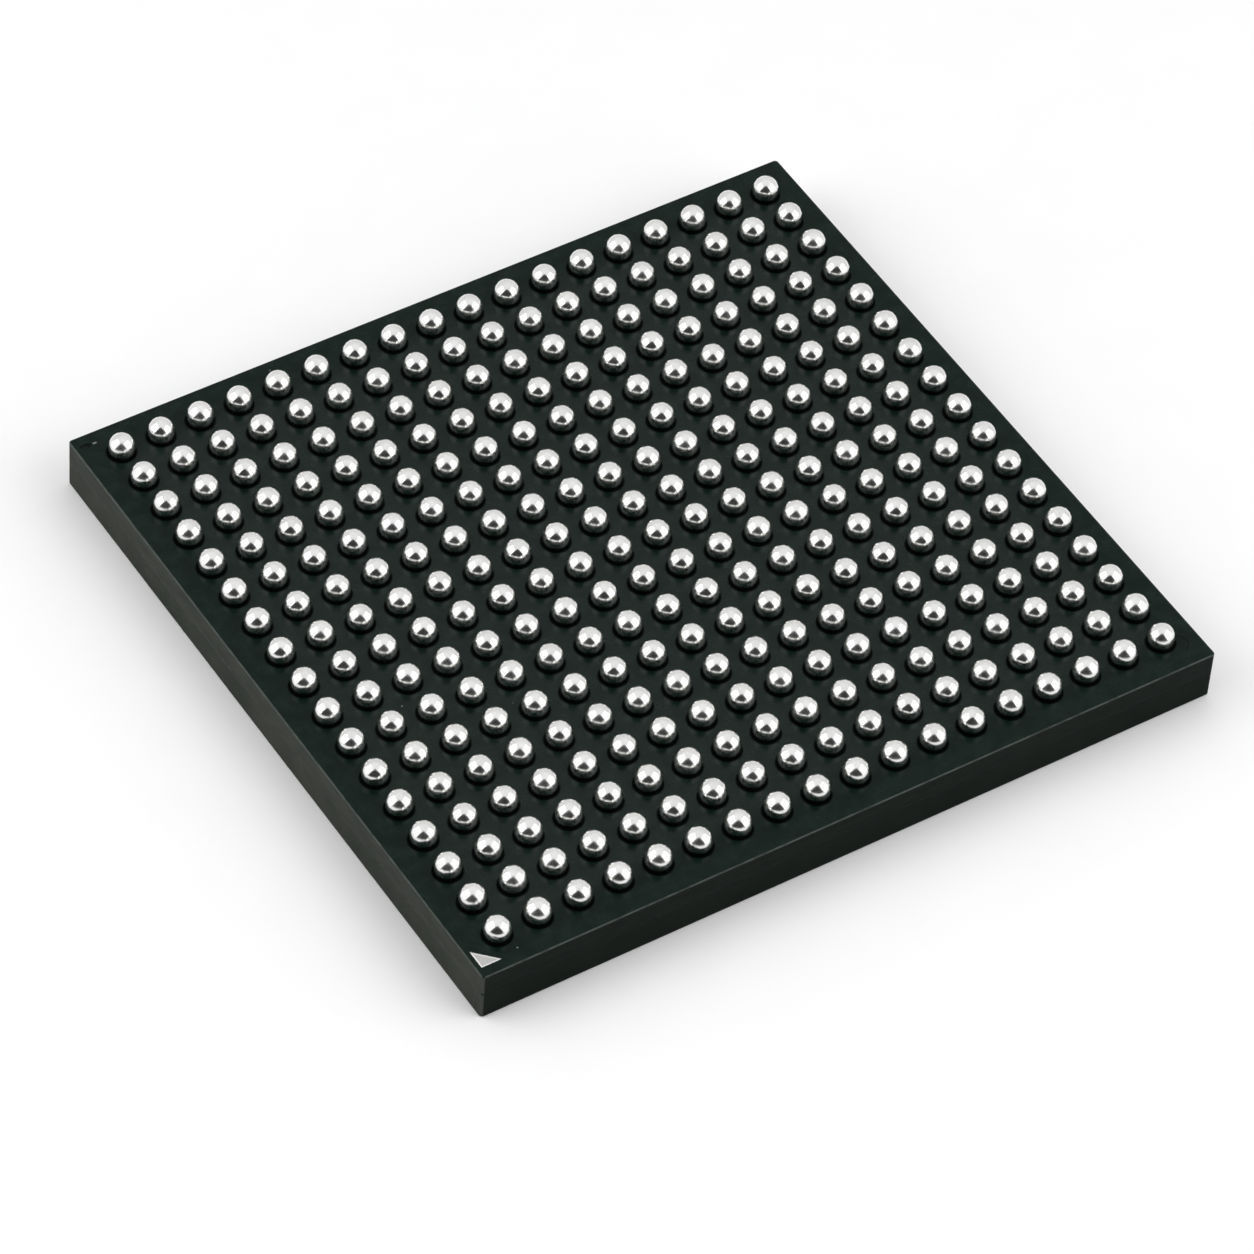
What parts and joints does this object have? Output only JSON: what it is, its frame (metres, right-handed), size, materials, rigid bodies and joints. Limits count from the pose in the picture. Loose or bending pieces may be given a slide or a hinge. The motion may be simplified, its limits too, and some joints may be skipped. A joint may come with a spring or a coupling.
{
  "type": "ball grid array chip",
  "caption": "Thin rectangular chip package with a full grid of solder balls on its upper face, resting on its flat moulded face.",
  "frame": {"origin": "centre of the marking face, which the package rests on", "axes": "+X along the 18-ball rows away from corner A1, +Y across the rows, +Z out of the ball side"},
  "size_m": [0.015, 0.0142, 0.0015],
  "materials": {
    "solder": "bright reflowed solder with a fine grain",
    "solder_mask": "satin dark green-black lacquer",
    "laminate": "sawn glass and resin laminate",
    "mold_compound": "fine matt black moulding compound",
    "bare_metal_mark": "plated metal",
    "copper": "plain copper",
    "gold_plating": "soft gold plating",
    "gold_wire": "drawn gold wire",
    "silicon": "polished silicon",
    "attach_film": "adhesive film",
    "bond_pad_metal": "sputtered metal"
  },
  "bodies": {
    "root": {"a1_corner_mark": "bare_metal_mark", "ball_pads": "copper", "ball_row_a": "solder", "ball_row_b": "solder", "ball_row_c": "solder", "ball_row_d": "solder", "ball_row_e": "solder", "ball_row_f": "solder", "ball_row_g": "solder", "ball_row_h": "solder", "ball_row_j": "solder", "ball_row_k": "solder", "ball_row_l": "solder", "ball_row_m": "solder", "ball_row_n": "solder", "ball_row_p": "solder", "ball_row_r": "solder", "ball_row_t": "solder", "ball_row_u": "solder", "ball_side_solder_mask": "solder_mask", "bond_fingers": "gold_plating", "bond_wires_front": "gold_wire", "bond_wires_left": "gold_wire", "bond_wires_rear": "gold_wire", "bond_wires_right": "gold_wire", "die": "silicon", "die_attach_film": "attach_film", "die_bond_pads": "bond_pad_metal", "die_side_solder_mask": "solder_mask", "laminate_core": "laminate", "mold_cap": "mold_compound"}
  },
  "joints": []
}
